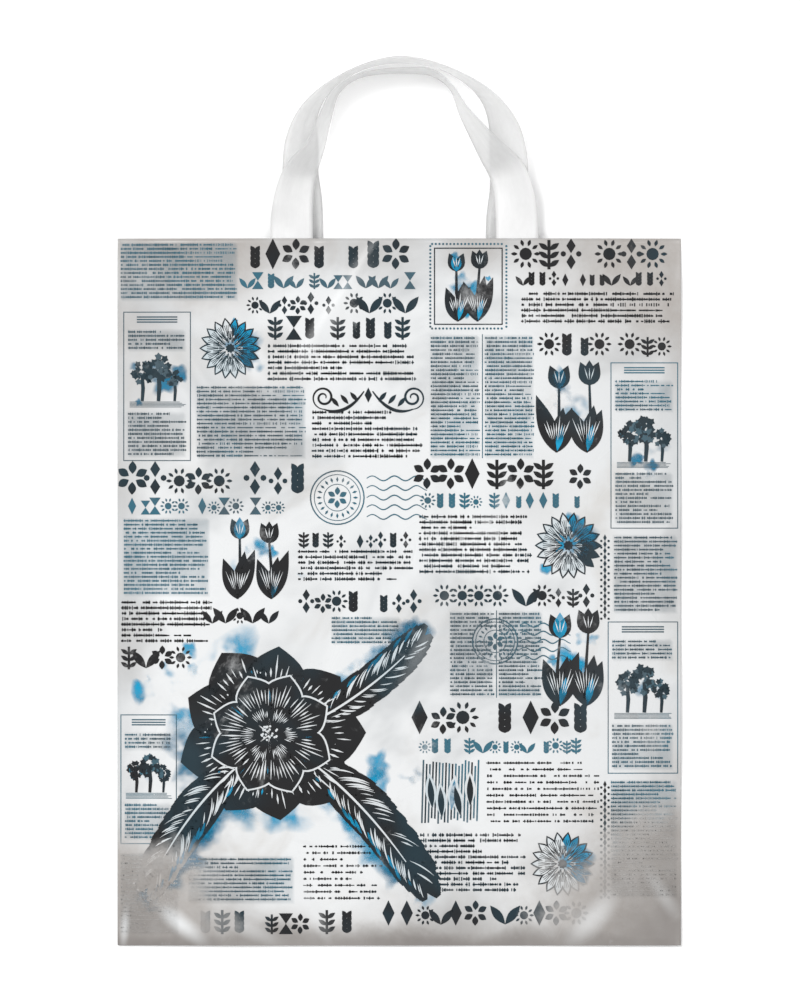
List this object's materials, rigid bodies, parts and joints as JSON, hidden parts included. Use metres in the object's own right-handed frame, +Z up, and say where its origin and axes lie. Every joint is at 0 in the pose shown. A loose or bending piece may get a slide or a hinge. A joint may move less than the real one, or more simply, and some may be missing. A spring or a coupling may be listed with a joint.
{
  "type": "plastic carrier bag",
  "caption": "Flat film carrier bag with an open mouth, welded sides, a folded bottom and two film loop handles, lying on its back.",
  "frame": {"origin": "on the floor under the middle of the whole outline, bag and handles together", "axes": "+Z up, out of the printed front panel; +Y from the bottom fold towards the mouth and the handles; +X to the right of the printed front"},
  "size_m": [0.4, 0.6312, 0.0304],
  "materials": {
    "printed_film": "glossy printed polyethylene film, soft small creases",
    "white_film": "milky, half see-through polyethylene film, satin"
  },
  "bodies": {
    "root": {"bag_body": "printed_film", "front_handle": "white_film", "back_handle": "white_film"}
  },
  "joints": []
}
